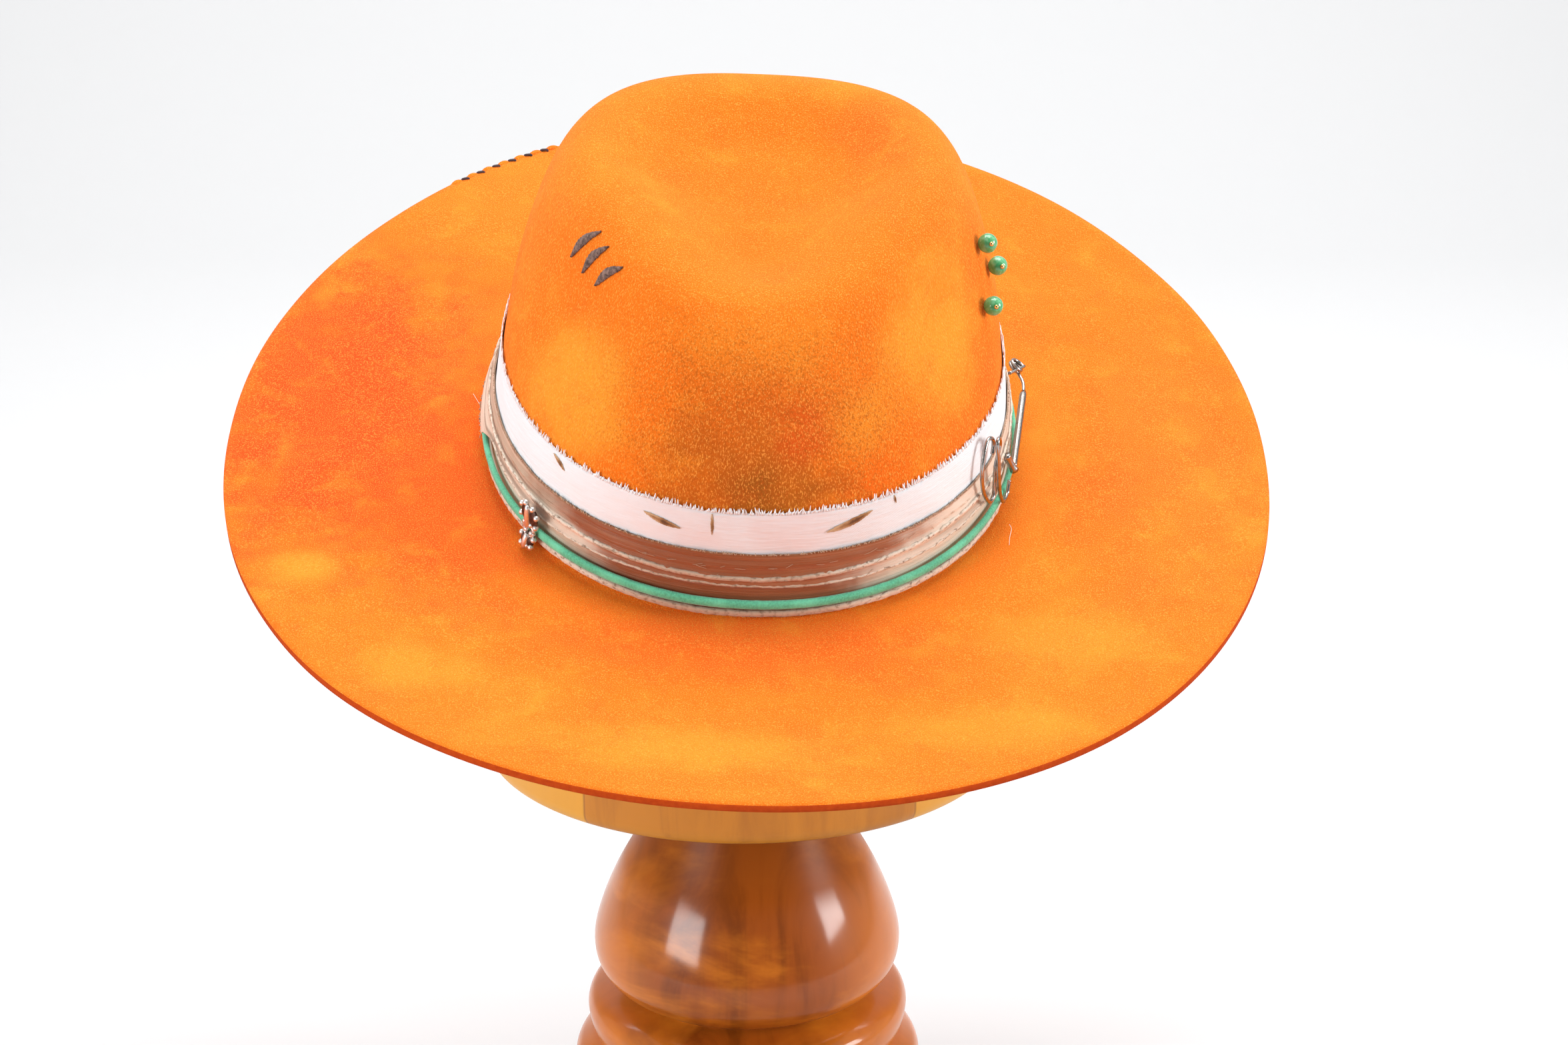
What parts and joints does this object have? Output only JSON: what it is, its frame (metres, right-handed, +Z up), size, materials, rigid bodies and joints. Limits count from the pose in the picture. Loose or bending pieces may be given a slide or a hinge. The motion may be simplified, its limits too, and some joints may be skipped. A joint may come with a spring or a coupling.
{
  "type": "fedora on a turned wooden stand",
  "caption": "Wide-brim felt fedora with a dressed band, tipped forward on the domed head of a turned wooden stand.",
  "frame": {"origin": "centre of the stand's flat foot", "axes": "+Z up along the stand's post, -Y towards the front of the hat, +X to the viewer's right"},
  "size_m": [0.3622, 0.3872, 0.4524],
  "materials": {
    "felt": "dyed orange felt with a soft nap",
    "cotton": "white cotton with frayed edges",
    "satin": "brown satin, folded",
    "suede": "green suede",
    "charm_metal": "worn rose-silver metal",
    "pin_metal": "polished steel wire",
    "bead_stone": "polished green stone",
    "dark_felt": "dark brown-grey felt",
    "maple": "clear satin varnish",
    "varnished_wood": "red-brown gloss varnish"
  },
  "bodies": {
    "root": {"felt_body": "felt", "white_strip": "cotton", "satin_ribbon": "satin", "suede_lace": "suede", "charm": "charm_metal", "kilt_pin": "pin_metal", "wire_clip": "pin_metal", "bead_1": "bead_stone", "bead_2": "bead_stone", "bead_3": "bead_stone", "slash_1": "dark_felt", "slash_2": "dark_felt", "slash_3": "dark_felt", "stand_head": "maple", "stand_post": "varnished_wood"}
  },
  "joints": []
}
